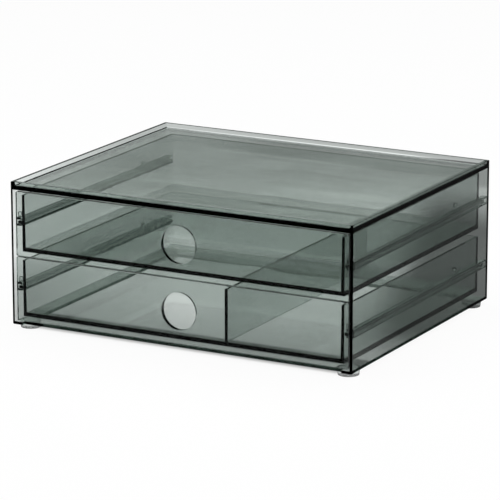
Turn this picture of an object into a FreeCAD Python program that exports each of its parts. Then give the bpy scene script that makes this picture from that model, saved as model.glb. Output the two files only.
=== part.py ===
"""Letter tray stack: a clear case with two sliding drawers, modelled piece by piece.

Millimetres. +Z is up, the drawers open towards -Y, and the origin is on the standing surface,
under the middle of the case. Each piece is written to parts/NODE.step.
"""

import os

import FreeCAD
import Part

# Case
CASE_WIDTH = 330.0
CASE_DEPTH = 270.0
SIDE_WALL = 2.4
BACK_WALL = 2.4
FLOOR_THICKNESS = 2.8
TOP_THICKNESS = 3.0
RIM_HEIGHT = 4.0
RIM_AT_TOP = 3.2
RIM_AT_PLATE = 3.6
RIM_INSIDE_RADIUS = 1.2
RIM_EDGE_RADIUS = 0.4
CASE_CORNER_RADIUS = 0.4
CASE_FLOOR_EDGE_RADIUS = 1.2
MOUTH_FLARE = 0.3
MOUTH_FLARE_LENGTH = 3.0
FLOOR_NOTCH_DEPTH = 4.0
FLOOR_NOTCH_END = 10.0
FLOOR_FRAME_SIDE = 17.0
FLOOR_FRAME_END = 22.0
FLOOR_OPENING_RADIUS = 8.0

# Drawer fronts
FRONT_HEIGHT = 57.2
FRONT_THICKNESS = 4.2
FRONT_RECESS = 1.0
FRONT_CORNER_RADIUS = 1.2
FRONT_EDGE_RADIUS = 0.4
FRONT_SIDE_CLEARANCE = 1.6
FRONT_FLOOR_CLEARANCE = 0.8
FRONT_TOP_CLEARANCE = 1.7
GAP_BETWEEN_FRONTS = 0.8
FINGER_HOLE_DIAMETER = 33.0
FINGER_HOLE_ABOVE_FRONT_MIDDLE = 0.4

# Drawer trays
TRAY_FLOOR_ABOVE_FRONT_BOTTOM = 3.8
TRAY_FLOOR_THICKNESS = 3.8
TRAY_WALL_BELOW_FRONT_TOP = 3.1
TRAY_WALL_AT_TOP = 2.6
TRAY_WALL_AT_FLOOR = 3.3
TRAY_BACK_CLEARANCE = 1.5
TRAY_CORNER_RADIUS = 1.8
TRAY_INSIDE_RADIUS = 1.0

# Divider of the lower drawer
DIVIDER_FROM_LEFT = 209.8
DIVIDER_THICKNESS = 3.0
DIVIDER_BELOW_TRAY_TOP = 0.5

# Guides on the case, and the runners and stops that work in them
GUIDE_REACH = 5.0
GUIDE_WEB = 1.0
GUIDE_RIB = 1.6
GUIDE_SLOT = 4.1
GUIDE_EDGE_RADIUS = 0.4
GUIDE_BEHIND_FRONT = 0.8
GUIDE_BOTTOM_ABOVE_FRONT_BOTTOM = 26.1
RUNNER_THICKNESS = 2.6
RUNNER_EDGE_RADIUS = 0.8
RUNNER_SEAT_CLEARANCE = 0.3
RUNNER_WEB_CLEARANCE = 0.6
GUIDE_TRAY_CLEARANCE = 1.6
STOP_TAB_HEIGHT = 5.0
STOP_TAB_LENGTH = 2.5
STOP_TAB_WIDTH = 2.9
STOP_BOSS_DIAMETER = 4.0
STOP_BOSS_REACH = 3.0
STOP_BOSS_EDGE_RADIUS = 1.0
STOP_BOSS_FROM_CASE_FRONT = 213.0
STOP_BOSS_RIB_CLEARANCE = 1.0
STOP_CLEARANCE = 0.3

# Feet
FOOT_HEIGHT = 4.2
FOOT_TOP_DIAMETER = 19.0
FOOT_BOTTOM_DIAMETER = 18.0
FOOT_FROM_SIDE = 10.0
FOOT_FROM_FRONT_OR_BACK = 14.0

# Clear cement between bonded pieces
BOND = 0.05

# Sizes that follow from those above
HALF_WIDTH = CASE_WIDTH / 2
FRONT_Y = -CASE_DEPTH / 2
BACK_Y = CASE_DEPTH / 2
CASE_BOTTOM = FOOT_HEIGHT + BOND
FLOOR_TOP = CASE_BOTTOM + FLOOR_THICKNESS
DRAWER_COUNT = 2
DRAWER_PITCH = FRONT_HEIGHT + GAP_BETWEEN_FRONTS
LOWEST_FRONT_BOTTOM = FLOOR_TOP + FRONT_FLOOR_CLEARANCE
FRONTS_TOP = LOWEST_FRONT_BOTTOM + DRAWER_COUNT * DRAWER_PITCH - GAP_BETWEEN_FRONTS
TOP_UNDERSIDE = FRONTS_TOP + FRONT_TOP_CLEARANCE
TOP_SURFACE = TOP_UNDERSIDE + TOP_THICKNESS
CASE_TOP = TOP_SURFACE + RIM_HEIGHT

INSIDE_HALF_WIDTH = HALF_WIDTH - SIDE_WALL
INSIDE_BACK_Y = BACK_Y - BACK_WALL
FRONT_HALF_WIDTH = INSIDE_HALF_WIDTH - FRONT_SIDE_CLEARANCE
FRONT_FACE_Y = FRONT_Y + FRONT_RECESS
FRONT_REAR_Y = FRONT_FACE_Y + FRONT_THICKNESS
TRAY_HALF_WIDTH = INSIDE_HALF_WIDTH - BOND - GUIDE_REACH - GUIDE_TRAY_CLEARANCE
TRAY_FRONT_Y = FRONT_REAR_Y + BOND
TRAY_BACK_Y = INSIDE_BACK_Y - TRAY_BACK_CLEARANCE
GUIDE_FRONT_Y = FRONT_REAR_Y + GUIDE_BEHIND_FRONT
STOP_BOSS_Y = FRONT_Y + STOP_BOSS_FROM_CASE_FRONT
DRAWER_TRAVEL = STOP_BOSS_Y - STOP_BOSS_DIAMETER / 2 - (GUIDE_FRONT_Y + STOP_TAB_LENGTH) - STOP_CLEARANCE

X_AXIS = FreeCAD.Vector(1, 0, 0)
Y_AXIS = FreeCAD.Vector(0, 1, 0)
MIDDLE_PLANE_POINT = FreeCAD.Vector(0, 0, 0)


def block(x0, x1, y0, y1, z0, z1):
    """A box between two corners."""
    return Part.makeBox(x1 - x0, y1 - y0, z1 - z0, FreeCAD.Vector(x0, y0, z0))


def rounded_outline(x0, x1, y0, y1, radius, z):
    """A closed wire at height z: a rectangle with four round corners."""
    box = block(x0, x1, y0, y1, z, z + 1)
    rounded = box.makeFillet(radius, upright_edges(box))
    bottom = min(rounded.Faces, key=lambda face: face.CenterOfMass.z)
    return bottom.OuterWire


def upright_edges(shape):
    """The straight edges of a shape that run along Z."""
    return [edge for edge in shape.Edges if is_upright(edge)]


def is_upright(edge):
    start, end = edge.Vertexes[0].Point, edge.Vertexes[-1].Point
    return abs(start.x - end.x) < 1e-6 and abs(start.y - end.y) < 1e-6


def long_edges(shape):
    """The straight edges of a shape that run along Y."""
    return [edge for edge in shape.Edges if edge.BoundBox.YLength > CASE_DEPTH / 2]


def edges_at(shape, axis, value):
    """The edges of a shape that lie in the plane where axis has this value."""
    low, high = axis + "Min", axis + "Max"
    return [
        edge
        for edge in shape.Edges
        if abs(getattr(edge.BoundBox, low) - value) < 1e-4
        and abs(getattr(edge.BoundBox, high) - value) < 1e-4
    ]


def mirrored(shape):
    """The same piece on the other side of the case's middle plane."""
    return shape.mirror(MIDDLE_PLANE_POINT, X_AXIS)


def case_body():
    """The outside of the case, sharp along its open front and rounded elsewhere."""
    body = block(-HALF_WIDTH, HALF_WIDTH, FRONT_Y, BACK_Y, CASE_BOTTOM, CASE_TOP)
    low_edges = [edge for edge in edges_at(body, "Z", CASE_BOTTOM) if edge.CenterOfMass.y > FRONT_Y + 1]
    body = body.makeFillet(CASE_FLOOR_EDGE_RADIUS, low_edges)
    body = body.makeFillet(CASE_CORNER_RADIUS, upright_edges(body))
    return body.makeFillet(RIM_EDGE_RADIUS, edges_at(body, "Z", CASE_TOP))


def case_room():
    """The room for the drawers, flared a little at the mouth."""
    room = block(
        -INSIDE_HALF_WIDTH, INSIDE_HALF_WIDTH, FRONT_Y - 1, INSIDE_BACK_Y, FLOOR_TOP, TOP_UNDERSIDE
    )
    corners = (
        (INSIDE_HALF_WIDTH - 1, FRONT_Y + MOUTH_FLARE_LENGTH),
        (INSIDE_HALF_WIDTH, FRONT_Y + MOUTH_FLARE_LENGTH),
        (INSIDE_HALF_WIDTH + MOUTH_FLARE, FRONT_Y),
        (INSIDE_HALF_WIDTH + MOUTH_FLARE, FRONT_Y - 1),
        (INSIDE_HALF_WIDTH - 1, FRONT_Y - 1),
    )
    outline = [FreeCAD.Vector(x, y, FLOOR_TOP) for x, y in corners]
    face = Part.Face(Part.makePolygon(outline + outline[:1]))
    flare = face.extrude(FreeCAD.Vector(0, 0, TOP_UNDERSIDE - FLOOR_TOP))
    return room.fuse([flare, mirrored(flare)])


def rim_recess():
    """The shallow room inside the rim, wider at the rim's top than at the plate."""
    outlines = []
    for inset, height in ((RIM_AT_PLATE, TOP_SURFACE), (RIM_AT_TOP, CASE_TOP)):
        x, y = HALF_WIDTH - inset, BACK_Y - inset
        corners = [FreeCAD.Vector(*point, height) for point in ((-x, -y), (x, -y), (x, y), (-x, y))]
        outlines.append(Part.makePolygon(corners + corners[:1]))
    recess = Part.makeLoft(outlines, True, True)
    return recess.makeFillet(RIM_INSIDE_RADIUS, edges_at(recess, "Z", TOP_SURFACE))


def floor_opening():
    """The opening that leaves a frame for the case's floor."""
    opening = block(
        -HALF_WIDTH + FLOOR_FRAME_SIDE,
        HALF_WIDTH - FLOOR_FRAME_SIDE,
        FRONT_Y + FLOOR_FRAME_END,
        BACK_Y - FLOOR_FRAME_END,
        CASE_BOTTOM - 1,
        FLOOR_TOP + FRONT_FLOOR_CLEARANCE / 2,
    )
    return opening.makeFillet(FLOOR_OPENING_RADIUS, upright_edges(opening))


def case_shell():
    """Floor frame, sides, back and top plate in one moulding, with a rim around the top."""
    notch = block(
        -HALF_WIDTH + FLOOR_NOTCH_END,
        HALF_WIDTH - FLOOR_NOTCH_END,
        FRONT_Y - 1,
        FRONT_Y + FLOOR_NOTCH_DEPTH,
        CASE_BOTTOM - 1,
        FLOOR_TOP + FRONT_FLOOR_CLEARANCE / 2,
    )
    shell = case_body()
    for hollow in (case_room(), rim_recess(), floor_opening(), notch):
        shell = shell.cut(hollow)
    return shell


def drawer_front(bottom):
    """A flat panel with a round finger hole through its middle."""
    panel = block(
        -FRONT_HALF_WIDTH, FRONT_HALF_WIDTH, FRONT_FACE_Y, FRONT_REAR_Y, bottom, bottom + FRONT_HEIGHT
    )
    corners = [edge for edge in panel.Edges if abs(edge.BoundBox.YLength - FRONT_THICKNESS) < 1e-3]
    panel = panel.makeFillet(FRONT_CORNER_RADIUS, corners)
    centre = FreeCAD.Vector(
        0, FRONT_FACE_Y - 1, bottom + FRONT_HEIGHT / 2 + FINGER_HOLE_ABOVE_FRONT_MIDDLE
    )
    hole = Part.makeCylinder(FINGER_HOLE_DIAMETER / 2, FRONT_THICKNESS + 2, centre, Y_AXIS)
    panel = panel.cut(hole)
    return panel.makeFillet(FRONT_EDGE_RADIUS, edges_at(panel, "Y", FRONT_FACE_Y))


def tray_floor_bottom(front_bottom):
    return front_bottom + TRAY_FLOOR_ABOVE_FRONT_BOTTOM


def tray_top(front_bottom):
    return front_bottom + FRONT_HEIGHT - TRAY_WALL_BELOW_FRONT_TOP


def guide_bottom(front_bottom):
    return front_bottom + GUIDE_BOTTOM_ABOVE_FRONT_BOTTOM


def guide_top(front_bottom):
    return guide_bottom(front_bottom) + 2 * GUIDE_RIB + GUIDE_SLOT


def runner(front_bottom):
    """The rib on the tray's left side that slides in the guide's slot."""
    bottom = guide_bottom(front_bottom) + GUIDE_RIB + RUNNER_SEAT_CLEARANCE
    tip = -INSIDE_HALF_WIDTH + BOND + GUIDE_WEB + RUNNER_WEB_CLEARANCE
    root = -TRAY_HALF_WIDTH + TRAY_WALL_AT_TOP / 2
    rib = block(
        tip, root, GUIDE_FRONT_Y, TRAY_BACK_Y - TRAY_CORNER_RADIUS, bottom, bottom + RUNNER_THICKNESS
    )
    return rib.makeFillet(min(RUNNER_EDGE_RADIUS, RUNNER_THICKNESS * 0.45), edges_at(rib, "X", tip))


def stop_boss(front_bottom):
    """The round boss on the tray's left side that meets the guide's stop tab."""
    radius = STOP_BOSS_DIAMETER / 2
    height = guide_top(front_bottom) + STOP_BOSS_RIB_CLEARANCE + radius
    start = FreeCAD.Vector(-TRAY_HALF_WIDTH - STOP_BOSS_REACH, STOP_BOSS_Y, height)
    boss = Part.makeCylinder(radius, STOP_BOSS_REACH + TRAY_WALL_AT_TOP / 2, start, X_AXIS)
    return boss.makeFillet(STOP_BOSS_EDGE_RADIUS, edges_at(boss, "X", start.x))


def tray_hollow(front_bottom):
    """The room inside a tray, a little narrower at the floor than at the top."""
    floor = tray_floor_bottom(front_bottom) + TRAY_FLOOR_THICKNESS
    top = tray_top(front_bottom)
    lean = (TRAY_WALL_AT_FLOOR - TRAY_WALL_AT_TOP) / (top - floor)
    outlines = []
    for height in (floor, top + 1):
        wall = TRAY_WALL_AT_FLOOR - lean * (height - floor)
        half_width = TRAY_HALF_WIDTH - wall
        outlines.append(
            rounded_outline(
                -half_width, half_width, FRONT_FACE_Y - 20, TRAY_BACK_Y - wall, TRAY_INSIDE_RADIUS, height
            )
        )
    return Part.makeLoft(outlines, True, True)


def drawer_tray(front_bottom):
    """Floor, sides and back of a drawer, open where its front is bonded on."""
    shell = block(
        -TRAY_HALF_WIDTH,
        TRAY_HALF_WIDTH,
        TRAY_FRONT_Y,
        TRAY_BACK_Y,
        tray_floor_bottom(front_bottom),
        tray_top(front_bottom),
    )
    back_corners = [edge for edge in upright_edges(shell) if edge.CenterOfMass.y > TRAY_BACK_Y - 1]
    shell = shell.makeFillet(TRAY_CORNER_RADIUS, back_corners)
    shell = shell.cut(tray_hollow(front_bottom))
    for side_piece in (runner(front_bottom), stop_boss(front_bottom)):
        shell = shell.fuse([side_piece, mirrored(side_piece)])
    return shell.removeSplitter()


def drawer_divider(front_bottom):
    """The upright plate from the drawer's front to its back wall."""
    middle = -HALF_WIDTH + DIVIDER_FROM_LEFT
    return block(
        middle - DIVIDER_THICKNESS / 2,
        middle + DIVIDER_THICKNESS / 2,
        FRONT_REAR_Y + BOND,
        TRAY_BACK_Y - TRAY_WALL_AT_FLOOR - BOND,
        tray_floor_bottom(front_bottom) + TRAY_FLOOR_THICKNESS + BOND,
        tray_top(front_bottom) - DIVIDER_BELOW_TRAY_TOP,
    )


def left_guide(front_bottom):
    """A C-shaped channel bonded to the left wall, with a stop tab standing on its front end."""
    wall = -INSIDE_HALF_WIDTH + BOND
    tip = wall + GUIDE_REACH
    bottom, top = guide_bottom(front_bottom), guide_top(front_bottom)
    back = INSIDE_BACK_Y - BOND
    channel = block(wall, tip, GUIDE_FRONT_Y, back, bottom, top)
    slot = block(
        wall + GUIDE_WEB, tip + 1, GUIDE_FRONT_Y - 1, back + 1, bottom + GUIDE_RIB, top - GUIDE_RIB
    )
    tab = block(
        tip - STOP_TAB_WIDTH,
        tip,
        GUIDE_FRONT_Y,
        GUIDE_FRONT_Y + STOP_TAB_LENGTH,
        top - GUIDE_RIB / 2,
        top + STOP_TAB_HEIGHT,
    )
    channel = channel.cut(slot)
    channel = channel.makeFillet(GUIDE_EDGE_RADIUS, long_edges(channel))
    return channel.fuse(tab).removeSplitter()


def foot(side, end):
    """A soft foot under one corner: side is -1 left or 1 right, end is -1 front or 1 back."""
    base = FreeCAD.Vector(
        side * (HALF_WIDTH - FOOT_FROM_SIDE), end * (CASE_DEPTH / 2 - FOOT_FROM_FRONT_OR_BACK), 0
    )
    return Part.makeCone(FOOT_BOTTOM_DIAMETER / 2, FOOT_TOP_DIAMETER / 2, FOOT_HEIGHT, base)


def pieces():
    """Every piece by its node's name."""
    made = {"case_shell": case_shell()}
    for level, name in enumerate(("lower", "upper")):
        bottom = LOWEST_FRONT_BOTTOM + level * DRAWER_PITCH
        made[name + "_drawer_front"] = drawer_front(bottom)
        made[name + "_drawer_tray"] = drawer_tray(bottom)
        made[name + "_left_guide"] = left_guide(bottom)
        made[name + "_right_guide"] = mirrored(left_guide(bottom))
    made["lower_drawer_divider"] = drawer_divider(LOWEST_FRONT_BOTTOM)
    for side, side_name in ((-1, "left"), (1, "right")):
        for end, end_name in ((-1, "front"), (1, "back")):
            made[end_name + "_" + side_name + "_foot"] = foot(side, end)
    return made


def main():
    os.makedirs("parts", exist_ok=True)
    for name, shape in pieces().items():
        if not shape.isValid() or len(shape.Solids) != 1:
            raise ValueError(name + " is not one sound solid")
        shape.Solids[0].exportStep("parts/" + name + ".step")
        box = shape.BoundBox
        print(name, [round(v, 2) for v in (box.XMin, box.XMax, box.YMin, box.YMax, box.ZMin, box.ZMax)])
    print("drawer travel", round(DRAWER_TRAVEL, 3))


main()
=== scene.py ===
"""Looks for the letter tray stack: clear smoke plastic, soft clear feet and a white studio.

Run as a script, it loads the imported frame, finishes every piece and sets the stage.
Lengths are in metres unless a name says otherwise, and +Z is up.
"""

import math
from functools import reduce

import bpy
from bpy.props import FloatProperty, FloatVectorProperty, PointerProperty
from mathutils import Matrix, Vector


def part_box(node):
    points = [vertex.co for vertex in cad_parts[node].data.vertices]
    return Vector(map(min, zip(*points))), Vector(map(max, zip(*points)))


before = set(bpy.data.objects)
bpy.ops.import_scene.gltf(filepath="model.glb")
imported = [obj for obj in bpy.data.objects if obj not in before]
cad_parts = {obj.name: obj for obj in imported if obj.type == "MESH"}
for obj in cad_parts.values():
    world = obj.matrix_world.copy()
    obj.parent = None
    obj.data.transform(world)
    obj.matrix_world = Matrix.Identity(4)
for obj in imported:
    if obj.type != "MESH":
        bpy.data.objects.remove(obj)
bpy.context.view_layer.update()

bl_info = {
    "name": "Letter tray stack looks",
    "version": (1, 0, 0),
    "blender": (4, 5, 0),
    "location": "3D View > Sidebar > Letter Tray",
    "description": "Finishes and stage for a clear letter tray stack with two drawers",
    "category": "Object",
}

CASE_NODES = ("case_shell",)
GUIDE_NODES = tuple(
    level + "_" + side + "_guide" for level in ("upper", "lower") for side in ("left", "right")
)
FRONT_NODES = ("upper_drawer_front", "lower_drawer_front")
TRAY_NODES = ("upper_drawer_tray", "lower_drawer_tray", "lower_drawer_divider")
FEET_NODES = tuple(
    end + "_" + side + "_foot" for end in ("front", "back") for side in ("left", "right")
)

# A ramp is four numbers: where it starts, where it ends, and its value at each of the two.
# A noise is two: how many patches it has in a metre, and its detail.

# What moulding leaves in a wall: streaks that are finer than the slow waves and drawn out along X.
WAVE_DETAIL = 0.0
STREAKS_IN_A_WAVE = 3.0
STREAK_DETAIL = 0.5
STREAK_SQUEEZE = (0.2, 1.0, 1.0)
STREAK_SHARE = 0.3

# What handling leaves on a surface: broad smudges, with finer rubbing inside them.
SMUDGE_NOISE = (14.0, 3.0)
SMUDGE_RAMP = (0.52, 0.72, 0.0, 1.0)
RUBBING_NOISE = (160.0, 2.0)
RUBBING_RAMP = (0.35, 0.75, 0.4, 1.0)

CLEAN_WHITE = (1.0, 1.0, 1.0, 1.0)
SMUDGED_WHITE = (0.975, 0.985, 0.98, 1.0)
MILLIMETRES_IN_A_METRE = 1000.0

FOOT_REFRACTION = 1.41
FOOT_CLEARNESS = 0.85
FOOT_HANDLED = 1.6
FOOT_MOTTLE_NOISE = (300.0, 2.0)
FOOT_MOTTLE_RAMP = (0.3, 0.7, 0.0, 1.0)
FOOT_MOTTLE_SHADE = 0.94
FOOT_GRAIN_NOISE = (2500.0, 1.0)
FOOT_GRAIN_HEIGHT = 0.00002

# Painted light and shade on the table, seen only through the plastic: the floor's material draws
# them and no lamp casts them. Places are measured from the middle of the case: across to the
# right, and behind.
# A painted shadow, shaped as if the tray stack threw it to the right and behind.
THROWN_SLANT = 0.35
THROWN_SIDE = (0.088, 0.14, 0.0, 1.0)
THROWN_FRONT_END = (-0.11, 0.03, 0.0, 1.0)
THROWN_BACK_END = (0.37, 0.55, 1.0, 0.0)
# A painted shade close under the front.
UNDER_FRONT_LINE = -0.0925
UNDER_FRONT_DEPTH = (0.005, 0.012, 0.9, 0.0)
UNDER_FRONT_WIDTH = (0.15, 0.19, 1.0, 0.0)
# A lesser painted shade far behind.
FAR_BACK_LINE = 0.58
FAR_BACK_DEPTH = (0.025, 0.055, 0.45, 0.0)
FAR_BACK_LEFT_END = (-0.38, -0.28, 0.0, 1.0)
# A lesser painted shade at the front left.
FRONT_LEFT_SIDE = (-0.24, -0.16, 0.25, 0.0)
FRONT_LEFT_BACK_END = (0.03, 0.12, 1.0, 0.0)
# A painted brighter row across the table.
BRIGHT_ROW_LINE = 0.17
BRIGHT_ROW_RAMP = (0.04, 0.3, 1.2, 0.8)
# A painted pool of light on the table.
POOL_MIDDLE = (-0.03, 0.2, 0.0)
POOL_RAMP = (0.1, 0.33, 1.0, 0.0)

# How far inside the case's outline the painted shade under it is full, and how far inside it
# starts.
CONTACT_INSET_AT_SIDES = (0.015, 0.006)
CONTACT_INSET_AT_ENDS = (0.016, 0.007)

FLOOR_PAINT = (0.95, 0.95, 0.95, 1.0)

# The room by the height of the direction looked in: 0 is level and 1 is straight up.
WALL_FOOT = (0.2, 0.275, 0.25, 1.0)
CEILING_EDGE = (0.34, 0.42, 1.0, 0.03)
BACKDROP_TOP = (0.05, 0.14, 1.0, 0.0)

SOFT_BOX_HEIGHT = 1.8

# The camera from the case's front left bottom corner, in widths of the case.
CAMERA_RIGHT, CAMERA_UP, CAMERA_BACK = 0.62581, 0.19468, 9.056
LENS_MM = 246.96
SENSOR_MM = 36.0
CAMERA_REACH = 20.0

LIGHT_BOUNCES = 64
MIRROR_BOUNCES = 32


class SmokePlasticSettings(bpy.types.PropertyGroup):
    """Finish of the tinted clear plastic."""

    absorption: FloatVectorProperty(
        name="Absorption",
        description="Share of red, green and blue light that one millimetre of plastic takes away",
        default=(0.1115, 0.0982, 0.104),
        size=3,
        subtype="XYZ",
    )
    refraction: FloatProperty(
        name="Index of refraction", description="Of the clear plastic", default=1.5
    )
    mirror_tint: FloatVectorProperty(
        name="Mirror tint",
        description="Scales how brightly a surface seen straight on mirrors what is round it",
        default=(0.2, 0.2, 0.2, 1.0),
        size=4,
        subtype="COLOR",
    )
    wave_length: FloatProperty(
        name="Wave length",
        description="Distance between the slow waves that moulding leaves in a flat wall",
        default=0.05,
        unit="LENGTH",
    )
    wave_height: FloatProperty(
        name="Wave height",
        description="Height of those waves",
        default=0.00012,
        unit="LENGTH",
    )
    haze: FloatProperty(
        name="Haze", description="Roughness where the surface has been handled", default=0.03
    )


class SoftFootSettings(bpy.types.PropertyGroup):
    """Finish of the soft clear feet."""

    tint: FloatVectorProperty(
        name="Tint",
        description="Colour of the soft clear feet",
        default=(0.90, 0.93, 0.92, 1.0),
        size=4,
        subtype="COLOR",
    )
    roughness: FloatProperty(name="Roughness", description="Of the feet's skin", default=0.12)


class StageSettings(bpy.types.PropertyGroup):
    """Floor, light and camera."""

    floor_size: FloatProperty(
        name="Floor size", description="Side of the square floor", default=12.0, unit="LENGTH"
    )
    floor_white: FloatProperty(
        name="Floor white",
        description="Share of the floor that shows as plain background; the rest is lit paint",
        default=0.94,
    )
    # Painted pool of light on the table, seen through the plastic.
    painted_pool_brightness: FloatProperty(
        name="Pool brightness",
        description="Brightness of the lit pool on the table, as seen through the plastic",
        default=1.4,
    )
    # Depth of the painted shadow on the table; no lamp casts it.
    painted_shadow_depth: FloatProperty(
        name="Shadow depth",
        description="How much of that light the tray stack's own shadow takes away",
        default=0.85,
        subtype="FACTOR",
    )
    # Depth of the painted shade on the table in the gap under the case.
    painted_contact_depth: FloatProperty(
        name="Contact shade",
        description="How much darker the table is in the narrow gap under the case",
        default=0.5,
        subtype="FACTOR",
    )
    key_power: FloatProperty(
        name="Key power", description="Power of the soft box overhead, in watts", default=58.0
    )
    key_size: FloatProperty(
        name="Key size", description="Side of the soft box overhead", default=3.0, unit="LENGTH"
    )
    room_light: FloatVectorProperty(
        name="Room light",
        description="Colour and brightness of the pale wall that the plastic mirrors",
        default=(0.60, 0.68, 0.63, 1.0),
        size=4,
        subtype="COLOR",
    )
    camera_azimuth: FloatProperty(
        name="Camera azimuth",
        description="How far round to the right the camera stands",
        default=math.radians(28.25),
        subtype="ANGLE",
    )
    camera_elevation: FloatProperty(
        name="Camera elevation",
        description="How far above the horizon the camera stands",
        default=math.radians(14.54),
        subtype="ANGLE",
    )


def node(tree, kind, **settings):
    """A new node with its plain settings filled in."""
    made = tree.nodes.new(kind)
    for name, value in settings.items():
        setattr(made, name, value)
    return made


def feed(tree, value, socket):
    """Links another socket to this one, or sets it to a plain value."""
    if isinstance(value, bpy.types.NodeSocket):
        tree.links.new(value, socket)
    else:
        socket.default_value = value


def math_node(tree, operation, *values):
    """A Math node whose inputs are numbers or other sockets; gives its output socket."""
    made = node(tree, "ShaderNodeMath", operation=operation)
    for value, socket in zip(values, made.inputs):
        feed(tree, value, socket)
    return made.outputs[0]


def product(tree, *values):
    """The product of several values."""
    return reduce(lambda one, other: math_node(tree, "MULTIPLY", one, other), values)


def greatest(tree, *values):
    """The greatest of several values."""
    return reduce(lambda one, other: math_node(tree, "MAXIMUM", one, other), values)


def ramp(tree, value, numbers):
    """A value that runs smoothly along a ramp and stays level beyond its ends."""
    made = node(tree, "ShaderNodeMapRange", interpolation_type="SMOOTHSTEP")
    tree.links.new(value, made.inputs["Value"])
    for name, number in zip(("From Min", "From Max", "To Min", "To Max"), numbers):
        made.inputs[name].default_value = number
    return made.outputs["Result"]


def off_line(tree, value, line):
    """How far a value lies from a line, on either side of it."""
    return math_node(tree, "ABSOLUTE", math_node(tree, "SUBTRACT", value, line))


def split(tree, vector):
    """The X, Y and Z sockets of a vector."""
    parts = node(tree, "ShaderNodeSeparateXYZ")
    tree.links.new(vector, parts.inputs["Vector"])
    return parts.outputs["X"], parts.outputs["Y"], parts.outputs["Z"]


def colour_mix(tree, factor, first, second):
    """A mix of two colours or colour sockets; gives its output socket."""
    made = node(tree, "ShaderNodeMix", data_type="RGBA")
    tree.links.new(factor, made.inputs["Factor"])
    feed(tree, first, made.inputs["A"])
    feed(tree, second, made.inputs["B"])
    return made.outputs["Result"]


def fresh_material(name):
    """An empty node material of that name."""
    material = bpy.data.materials.new(name)
    material.use_nodes = True
    material.node_tree.nodes.clear()
    return material


def new_group(name, inputs, outputs):
    """An empty shader node group with these number sockets; gives it and its two end nodes."""
    group = bpy.data.node_groups.new(name, "ShaderNodeTree")
    for label, value in inputs:
        socket = group.interface.new_socket(label, in_out="INPUT", socket_type="NodeSocketFloat")
        socket.default_value = value
    for label in outputs:
        group.interface.new_socket(label, in_out="OUTPUT", socket_type="NodeSocketFloat")
    return group, node(group, "NodeGroupInput"), node(group, "NodeGroupOutput")


def noise(tree, vector, scale, detail):
    """A noise pattern whose scale is a number or another socket; gives its factor socket."""
    made = node(tree, "ShaderNodeTexNoise")
    made.inputs["Detail"].default_value = detail
    feed(tree, scale, made.inputs["Scale"])
    tree.links.new(vector, made.inputs["Vector"])
    return made.outputs[0]


def moulded_wave_group():
    """Slow waves and finer flow streaks that moulding leaves in a polished plastic wall."""
    group, given, result = new_group(
        "moulded waves", (("Wave Length", 0.05), ("Streak Share", STREAK_SHARE)), ("Height",)
    )
    place = node(group, "ShaderNodeTexCoord").outputs["Object"]
    wave_length = given.outputs["Wave Length"]
    waves = noise(group, place, math_node(group, "DIVIDE", 1.0, wave_length), WAVE_DETAIL)
    drawn_out = node(group, "ShaderNodeMapping")
    drawn_out.inputs["Scale"].default_value = STREAK_SQUEEZE
    group.links.new(place, drawn_out.inputs["Vector"])
    streak_scale = math_node(group, "DIVIDE", STREAKS_IN_A_WAVE, wave_length)
    streaks = noise(group, drawn_out.outputs["Vector"], streak_scale, STREAK_DETAIL)
    share = product(group, streaks, given.outputs["Streak Share"])
    group.links.new(math_node(group, "ADD", waves, share), result.inputs["Height"])
    return group


def handling_group():
    """Where hands and paper have dulled a polished surface: smudges, and rubbing inside them."""
    group, given, result = new_group(
        "handling",
        (("Clean Roughness", 0.0), ("Handled Roughness", 0.03)),
        ("Roughness", "Smudge"),
    )
    place = node(group, "ShaderNodeTexCoord").outputs["Object"]
    clean, handled = given.outputs["Clean Roughness"], given.outputs["Handled Roughness"]
    smudges = ramp(group, noise(group, place, *SMUDGE_NOISE), SMUDGE_RAMP)
    rubbing = ramp(group, noise(group, place, *RUBBING_NOISE), RUBBING_RAMP)
    smudge = product(group, smudges, rubbing)
    added = product(group, smudge, math_node(group, "SUBTRACT", handled, clean))
    group.links.new(math_node(group, "ADD", clean, added), result.inputs["Roughness"])
    group.links.new(smudge, result.inputs["Smudge"])
    return group


def shared_group(tree, name, make):
    """A node that holds the shared group of that name, made the first time it is asked for."""
    return node(tree, "ShaderNodeGroup", node_tree=bpy.data.node_groups.get(name) or make())


def bump(tree, height, distance, surface):
    """Raises a surface by a height pattern, up to this distance."""
    raised = node(tree, "ShaderNodeBump")
    raised.inputs["Distance"].default_value = distance
    tree.links.new(height, raised.inputs["Height"])
    tree.links.new(raised.outputs["Normal"], surface.inputs["Normal"])


def smoke_plastic(name, wave_factor, haze_factor):
    """Clear smoke plastic: the tint lies in its depth, the waves and smudges on its surface."""
    look = bpy.context.scene.letter_tray_plastic
    material = fresh_material(name)
    tree = material.node_tree
    surface = node(tree, "ShaderNodeBsdfPrincipled")
    surface.inputs["IOR"].default_value = look.refraction
    surface.inputs["Transmission Weight"].default_value = 1.0
    surface.inputs["Specular Tint"].default_value = look.mirror_tint

    waves = shared_group(tree, "moulded waves", moulded_wave_group)
    waves.inputs["Wave Length"].default_value = look.wave_length
    bump(tree, waves.outputs["Height"], look.wave_height * wave_factor, surface)

    handling = shared_group(tree, "handling", handling_group)
    handling.inputs["Handled Roughness"].default_value = look.haze * haze_factor
    tree.links.new(handling.outputs["Roughness"], surface.inputs["Roughness"])
    tint = colour_mix(tree, handling.outputs["Smudge"], CLEAN_WHITE, SMUDGED_WHITE)
    tree.links.new(tint, surface.inputs["Base Color"])

    depth = node(tree, "ShaderNodeVolumeAbsorption")
    depth.inputs["Color"].default_value = (*(1.0 - share for share in look.absorption), 1.0)
    depth.inputs["Density"].default_value = MILLIMETRES_IN_A_METRE
    output = node(tree, "ShaderNodeOutputMaterial")
    tree.links.new(surface.outputs["BSDF"], output.inputs["Surface"])
    tree.links.new(depth.outputs["Volume"], output.inputs["Volume"])
    return material


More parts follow.
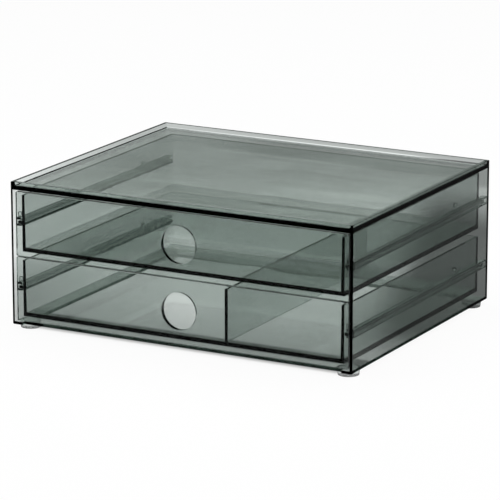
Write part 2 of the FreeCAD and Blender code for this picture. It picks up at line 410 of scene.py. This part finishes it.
def soft_silicone(name):
    """Soft clear silicone: faintly milky, with a fine grain in its skin."""
    look = bpy.context.scene.letter_tray_feet
    material = fresh_material(name)
    tree = material.node_tree
    surface = node(tree, "ShaderNodeBsdfPrincipled")
    surface.inputs["IOR"].default_value = FOOT_REFRACTION
    surface.inputs["Transmission Weight"].default_value = FOOT_CLEARNESS

    place = node(tree, "ShaderNodeTexCoord").outputs["Object"]
    mottle = ramp(tree, noise(tree, place, *FOOT_MOTTLE_NOISE), FOOT_MOTTLE_RAMP)
    milky = [FOOT_MOTTLE_SHADE * channel for channel in look.tint[:3]] + [1.0]
    tree.links.new(colour_mix(tree, mottle, look.tint, milky), surface.inputs["Base Color"])

    handling = shared_group(tree, "handling", handling_group)
    handling.inputs["Clean Roughness"].default_value = look.roughness
    handling.inputs["Handled Roughness"].default_value = look.roughness * FOOT_HANDLED
    tree.links.new(handling.outputs["Roughness"], surface.inputs["Roughness"])
    bump(tree, noise(tree, place, *FOOT_GRAIN_NOISE), FOOT_GRAIN_HEIGHT, surface)

    output = node(tree, "ShaderNodeOutputMaterial")
    tree.links.new(surface.outputs["BSDF"], output.inputs["Surface"])
    return material


def finish_nodes(names, material):
    """Gives these CAD nodes one finish."""
    for name in names:
        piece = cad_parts[name]
        piece.data.materials.clear()
        piece.data.materials.append(material)


class LETTERTRAY_OT_case(bpy.types.Operator):
    """Finishes the case in clear smoke plastic"""

    bl_idname = "letter_tray.case"
    bl_label = "Case"

    def execute(self, context):
        finish_nodes(CASE_NODES, smoke_plastic("case smoke plastic", 1.0, 1.0))
        return {"FINISHED"}


class LETTERTRAY_OT_guides(bpy.types.Operator):
    """Finishes the drawer guides that are bonded inside the case"""

    bl_idname = "letter_tray.guides"
    bl_label = "Guides"

    def execute(self, context):
        finish_nodes(GUIDE_NODES, smoke_plastic("guide smoke plastic", 0.5, 1.0))
        return {"FINISHED"}


class LETTERTRAY_OT_drawers(bpy.types.Operator):
    """Finishes the drawers: polished fronts, and trays that paper has rubbed a little"""

    bl_idname = "letter_tray.drawers"
    bl_label = "Drawers"

    def execute(self, context):
        finish_nodes(FRONT_NODES, smoke_plastic("front smoke plastic", 0.4, 0.5))
        finish_nodes(TRAY_NODES, smoke_plastic("tray smoke plastic", 1.0, 1.4))
        return {"FINISHED"}


class LETTERTRAY_OT_feet(bpy.types.Operator):
    """Finishes the soft feet"""

    bl_idname = "letter_tray.feet"
    bl_label = "Feet"

    def execute(self, context):
        finish_nodes(FEET_NODES, soft_silicone("soft clear silicone"))
        return {"FINISHED"}


def painted_table_shadow(tree, across, behind):
    """Painted shade on the table, 0 to 1: a shadow shaped as if the tray stack threw it to the
    right and behind, a shade close under its front, and two lesser patches, far behind and at the
    front left."""
    slanted = math_node(tree, "ADD", across, product(tree, behind, THROWN_SLANT))
    thrown = product(
        tree,
        ramp(tree, slanted, THROWN_SIDE),
        ramp(tree, behind, THROWN_FRONT_END),
        ramp(tree, behind, THROWN_BACK_END),
    )
    under_front = product(
        tree,
        ramp(tree, off_line(tree, behind, UNDER_FRONT_LINE), UNDER_FRONT_DEPTH),
        ramp(tree, math_node(tree, "ABSOLUTE", across), UNDER_FRONT_WIDTH),
    )
    far_back = product(
        tree,
        ramp(tree, off_line(tree, behind, FAR_BACK_LINE), FAR_BACK_DEPTH),
        ramp(tree, across, FAR_BACK_LEFT_END),
    )
    front_left = product(
        tree, ramp(tree, across, FRONT_LEFT_SIDE), ramp(tree, behind, FRONT_LEFT_BACK_END)
    )
    return greatest(tree, thrown, under_front, far_back, front_left)


def painted_table_light(tree, place):
    """Painted brightness of the table as seen through the plastic: a painted pool of light in a
    softer bright row, less the painted shadow."""
    look = bpy.context.scene.letter_tray_stage
    across, behind, _ = split(tree, place)
    shadow = product(tree, painted_table_shadow(tree, across, behind), look.painted_shadow_depth)
    lit = math_node(tree, "SUBTRACT", 1.0, shadow)
    around = ramp(tree, off_line(tree, behind, BRIGHT_ROW_LINE), BRIGHT_ROW_RAMP)
    from_pool = node(tree, "ShaderNodeVectorMath", operation="DISTANCE")
    tree.links.new(place, from_pool.inputs[0])
    from_pool.inputs[1].default_value = POOL_MIDDLE
    in_pool = ramp(tree, from_pool.outputs["Value"], POOL_RAMP)
    extra = math_node(tree, "SUBTRACT", look.painted_pool_brightness, around)
    level = math_node(tree, "ADD", around, product(tree, in_pool, extra))
    return product(tree, lit, level)


def painted_contact_shade(tree, place):
    """The painted soft shade on the table in the narrow gap under the case: 0 outside, 1 well
    inside.
    """
    across, behind, _ = split(tree, place)
    _, (side, end, _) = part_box("case_shell")
    shades = []
    for value, outline, (full, start) in (
        (across, side, CONTACT_INSET_AT_SIDES),
        (behind, end, CONTACT_INSET_AT_ENDS),
    ):
        off_middle = math_node(tree, "ABSOLUTE", value)
        shades.append(ramp(tree, off_middle, (outline - full, outline - start, 1.0, 0.0)))
    return product(tree, *shades)


def floor_material():
    """White floor: plain paint for light, plain white as the background, and painted light and
    shade on the table where it is seen through the plastic."""
    look = bpy.context.scene.letter_tray_stage
    material = fresh_material("white floor")
    tree = material.node_tree
    paint = node(tree, "ShaderNodeBsdfDiffuse")
    paint.inputs["Color"].default_value = FLOOR_PAINT
    ray = node(tree, "ShaderNodeLightPath").outputs
    camera, through = ray["Is Camera Ray"], ray["Is Transmission Ray"]
    place = node(tree, "ShaderNodeTexCoord").outputs["Object"]
    # Painted shade under the case, for rays straight from the camera.
    shade = product(tree, painted_contact_shade(tree, place), look.painted_contact_depth)
    seen_direct = product(tree, camera, math_node(tree, "SUBTRACT", 1.0, shade))
    # Painted light and shade on the table, for rays through the plastic.
    seen_through = product(tree, painted_table_light(tree, place), through)
    white = node(tree, "ShaderNodeEmission")
    tree.links.new(greatest(tree, seen_through, seen_direct), white.inputs["Strength"])
    seen = greatest(tree, camera, through, ray["Is Glossy Ray"])
    blend = node(tree, "ShaderNodeMixShader")
    tree.links.new(product(tree, seen, look.floor_white), blend.inputs["Fac"])
    tree.links.new(paint.outputs["BSDF"], blend.inputs[1])
    tree.links.new(white.outputs["Emission"], blend.inputs[2])
    output = node(tree, "ShaderNodeOutputMaterial")
    tree.links.new(blend.outputs["Shader"], output.inputs["Surface"])
    return material


def add_floor():
    """A large flat floor on the standing surface."""
    half = bpy.context.scene.letter_tray_stage.floor_size / 2
    mesh = bpy.data.meshes.new("floor")
    corners = [(-half, -half, 0.0), (half, -half, 0.0), (half, half, 0.0), (-half, half, 0.0)]
    mesh.from_pydata(corners, [], [(0, 1, 2, 3)])
    mesh.materials.append(floor_material())
    floor = bpy.data.objects.new("floor", mesh)
    bpy.context.scene.collection.objects.link(floor)


def add_room():
    """A white background; what is seen through or mirrored in the plastic is white too, close
    above the horizon, then a pale wall, and a dark ceiling over it."""
    look = bpy.context.scene.letter_tray_stage
    world = bpy.data.worlds.new("white room")
    bpy.context.scene.world = world
    world.use_nodes = True
    tree = world.node_tree
    tree.nodes.clear()
    _, _, height = split(tree, node(tree, "ShaderNodeTexCoord").outputs["Generated"])
    lit = product(tree, ramp(tree, height, WALL_FOOT), ramp(tree, height, CEILING_EDGE))
    room = colour_mix(tree, lit, (0.0, 0.0, 0.0, 1.0), look.room_light)
    ray = node(tree, "ShaderNodeLightPath").outputs
    through = greatest(tree, ray["Is Transmission Ray"], ray["Is Glossy Ray"])
    backdrop = product(tree, through, ramp(tree, height, BACKDROP_TOP))
    white = greatest(tree, ray["Is Camera Ray"], backdrop)
    light = node(tree, "ShaderNodeBackground")
    tree.links.new(colour_mix(tree, white, room, (1.0, 1.0, 1.0, 1.0)), light.inputs["Color"])
    output = node(tree, "ShaderNodeOutputWorld")
    tree.links.new(light.outputs["Background"], output.inputs["Surface"])


def add_key_light():
    """One large soft box overhead."""
    look = bpy.context.scene.letter_tray_stage
    lamp = bpy.data.lights.new("soft box", "AREA")
    lamp.shape = "SQUARE"
    lamp.size = look.key_size
    lamp.energy = look.key_power
    box = bpy.data.objects.new("soft box", lamp)
    box.location = (0.0, 0.0, SOFT_BOX_HEIGHT)
    bpy.context.scene.collection.objects.link(box)


def add_camera():
    """A long lens at the viewing angle, set out from the case's front left bottom corner."""
    look = bpy.context.scene.letter_tray_stage
    azimuth, elevation = look.camera_azimuth, look.camera_elevation
    back = Vector(
        (
            math.sin(azimuth) * math.cos(elevation),
            -math.cos(azimuth) * math.cos(elevation),
            math.sin(elevation),
        )
    )
    right = Vector((math.cos(azimuth), math.sin(azimuth), 0.0))
    up = back.cross(right)
    low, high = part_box("case_shell")
    width = high[0] - low[0]
    away = width * (CAMERA_RIGHT * right + CAMERA_UP * up + CAMERA_BACK * back)
    data = bpy.data.cameras.new("camera")
    data.sensor_width = SENSOR_MM
    data.lens = LENS_MM
    data.clip_end = CAMERA_REACH
    camera = bpy.data.objects.new("camera", data)
    turn = Matrix((right, up, back)).transposed().to_4x4()
    camera.matrix_world = Matrix.Translation(Vector(low) + away) @ turn
    bpy.context.scene.collection.objects.link(camera)
    bpy.context.scene.camera = camera


class LETTERTRAY_OT_stage(bpy.types.Operator):
    """Sets the white floor, the room, the soft box and the camera"""

    bl_idname = "letter_tray.stage"
    bl_label = "Stage"

    def execute(self, context):
        scene = context.scene
        scene.view_settings.view_transform = "Standard"
        scene.cycles.max_bounces = LIGHT_BOUNCES
        scene.cycles.transmission_bounces = LIGHT_BOUNCES
        scene.cycles.glossy_bounces = MIRROR_BOUNCES
        add_floor()
        add_room()
        add_key_light()
        add_camera()
        return {"FINISHED"}


class LETTERTRAY_PT_panel(bpy.types.Panel):
    """Lists the pieces of the letter tray stack and their settings"""

    bl_idname = "LETTERTRAY_PT_panel"
    bl_label = "Letter Tray"
    bl_space_type = "VIEW_3D"
    bl_region_type = "UI"
    bl_category = "Letter Tray"

    def draw(self, context):
        for operator in OPERATORS:
            self.layout.operator(operator.bl_idname)
        for pointer in SETTINGS:
            group = getattr(context.scene, pointer)
            for name in group.bl_rna.properties.keys():
                if name not in ("rna_type", "name"):
                    self.layout.prop(group, name)


OPERATORS = (
    LETTERTRAY_OT_case,
    LETTERTRAY_OT_guides,
    LETTERTRAY_OT_drawers,
    LETTERTRAY_OT_feet,
    LETTERTRAY_OT_stage,
)
SETTINGS = {
    "letter_tray_plastic": SmokePlasticSettings,
    "letter_tray_feet": SoftFootSettings,
    "letter_tray_stage": StageSettings,
}
CLASSES = (*SETTINGS.values(), *OPERATORS, LETTERTRAY_PT_panel)


def register():
    for cls in CLASSES:
        bpy.utils.register_class(cls)
    for pointer, group in SETTINGS.items():
        setattr(bpy.types.Scene, pointer, PointerProperty(type=group))


def unregister():
    for pointer in SETTINGS:
        delattr(bpy.types.Scene, pointer)
    for cls in reversed(CLASSES):
        bpy.utils.unregister_class(cls)


def main():
    register()
    bpy.ops.letter_tray.case()
    bpy.ops.letter_tray.guides()
    bpy.ops.letter_tray.drawers()
    bpy.ops.letter_tray.feet()
    bpy.ops.letter_tray.stage()


if __name__ == "__main__":
    main()
